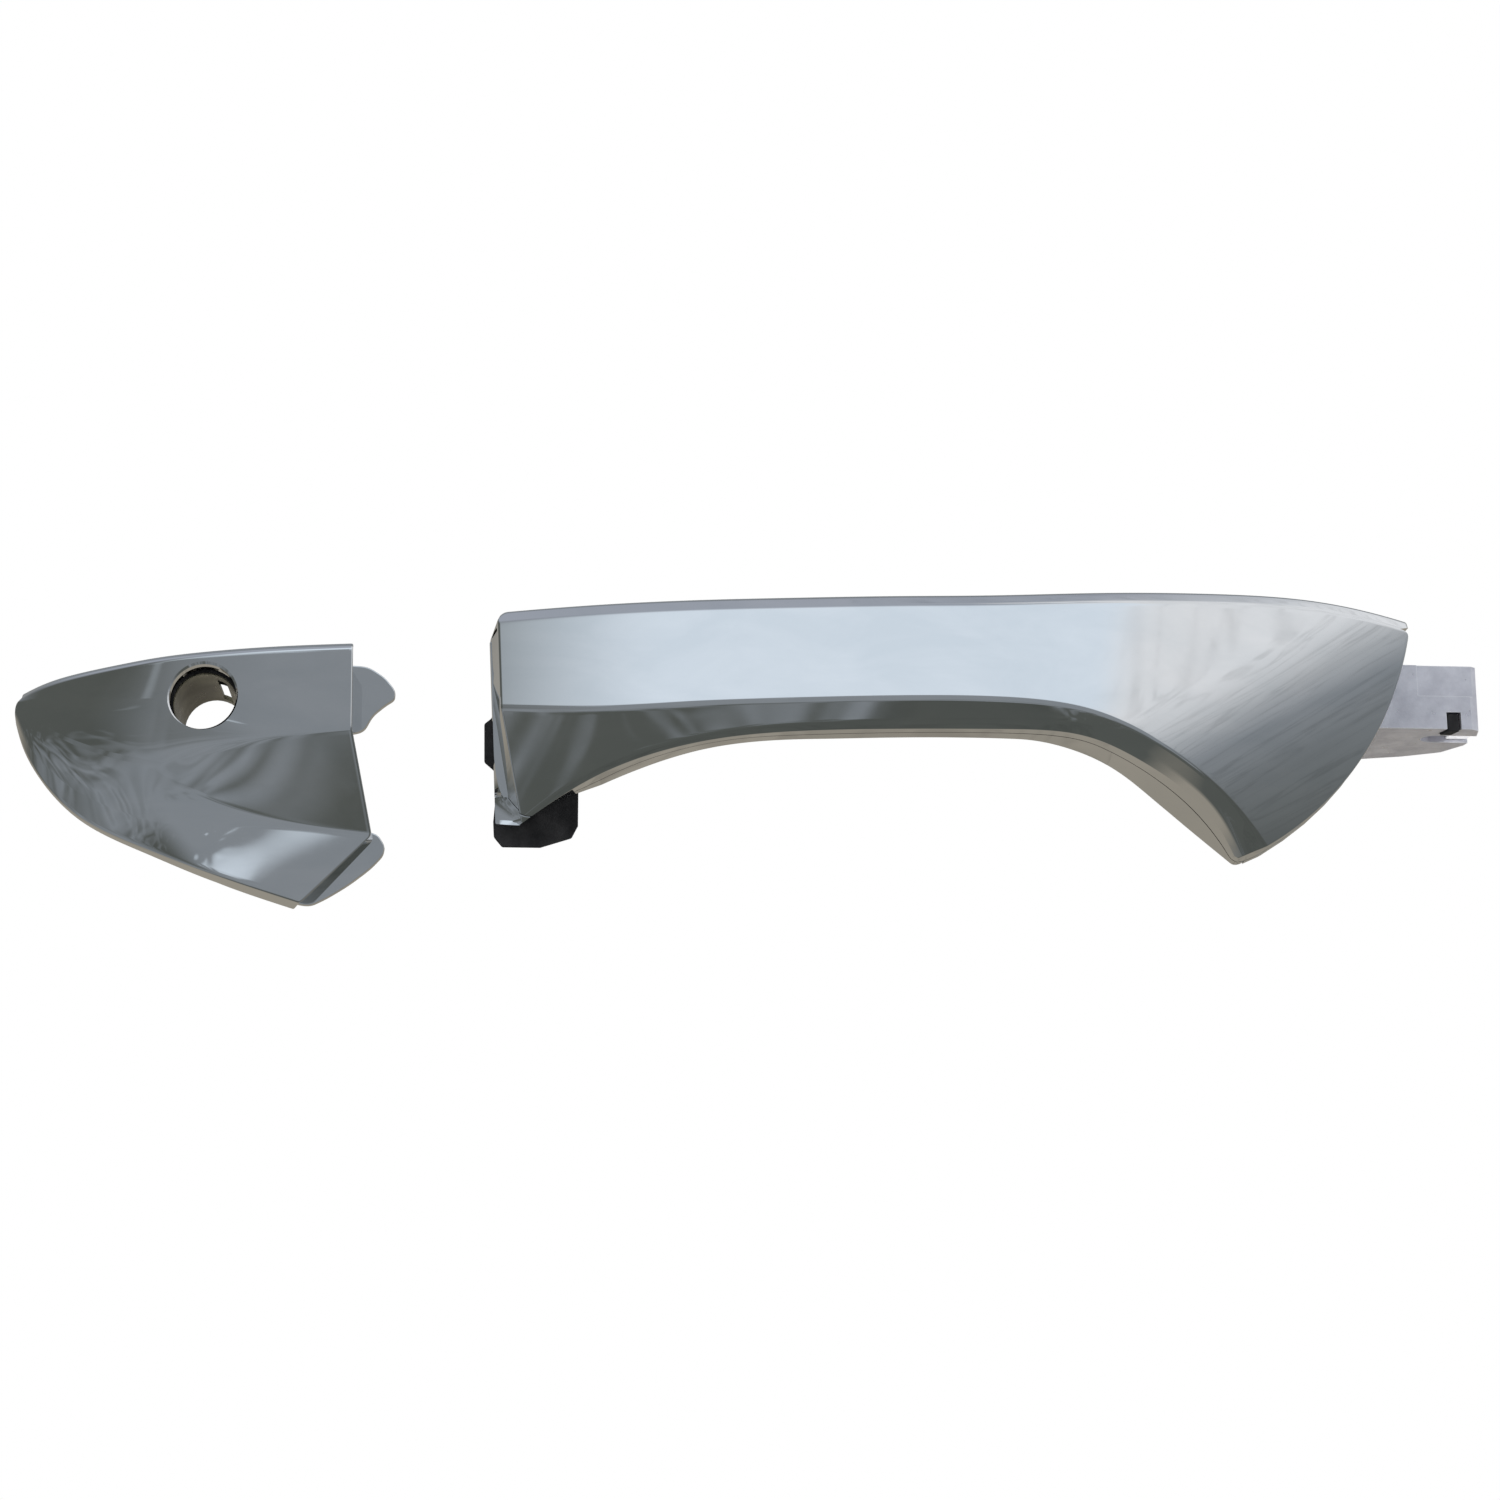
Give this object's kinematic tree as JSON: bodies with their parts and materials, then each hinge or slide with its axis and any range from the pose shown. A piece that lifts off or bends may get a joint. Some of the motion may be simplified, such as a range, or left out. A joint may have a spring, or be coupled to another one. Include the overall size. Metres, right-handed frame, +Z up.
{
  "type": "car door handle",
  "caption": "Outside pull handle for a car door, with hinge arm, latch leg, door pads and a separate rear cap around the key cylinder hole.",
  "frame": {"origin": "back face of the front door pad, on the plane of the outer door skin, beside the opening for the hinge arm", "axes": "+X towards the front of the car along the handle, +Y into the door, +Z up"},
  "size_m": [0.3551, 0.0723, 0.0759],
  "materials": {
    "chrome": "bright chrome plate",
    "cast_metal": "fine as-cast metal",
    "steel": "zinc plated",
    "brass": "turned",
    "rubber": "matt moulded rubber",
    "black_plastic": "fine grained",
    "nylon": "natural nylon"
  },
  "bodies": {
    "door_pads": {"front_gasket": "rubber", "rear_gasket": "rubber"},
    "handle": {"grip_outer_shell": "chrome", "grip_inner_shell": "chrome", "end_plate": "chrome", "carrier_bar": "cast_metal", "hinge_arm": "cast_metal", "hinge_bush": "nylon", "arm_damper": "rubber", "latch_leg": "steel", "leg_wear_pad": "nylon", "leg_stop_rubber": "rubber", "shell_screw_1": "steel", "shell_screw_2": "steel", "shell_screw_3": "steel"},
    "rear_cap": {"cap_shell": "chrome", "cap_frame": "black_plastic", "lock_sleeve": "black_plastic", "key_hole_seal": "rubber", "cap_gasket": "rubber", "cap_nut": "brass", "cap_clip_nose": "steel", "cap_clip_lower": "steel", "cap_frame_screw_1": "steel", "cap_frame_screw_2": "steel"}
  },
  "joints": [
    {"name": "handle_pull", "type": "hinge", "parent": "door_pads", "child": "handle", "pos_m": [0.046, 0.014, 0.012], "axis": [0, 0, 1], "range_deg": [0, 8], "stiffness_Nm_per_rad": 6, "springref_deg": -11.46},
    {"name": "cap_fit", "type": "slide", "parent": "door_pads", "child": "rear_cap", "axis": [0.9835, 0, 0.181], "range_m": [0, 0.03]}
  ]
}
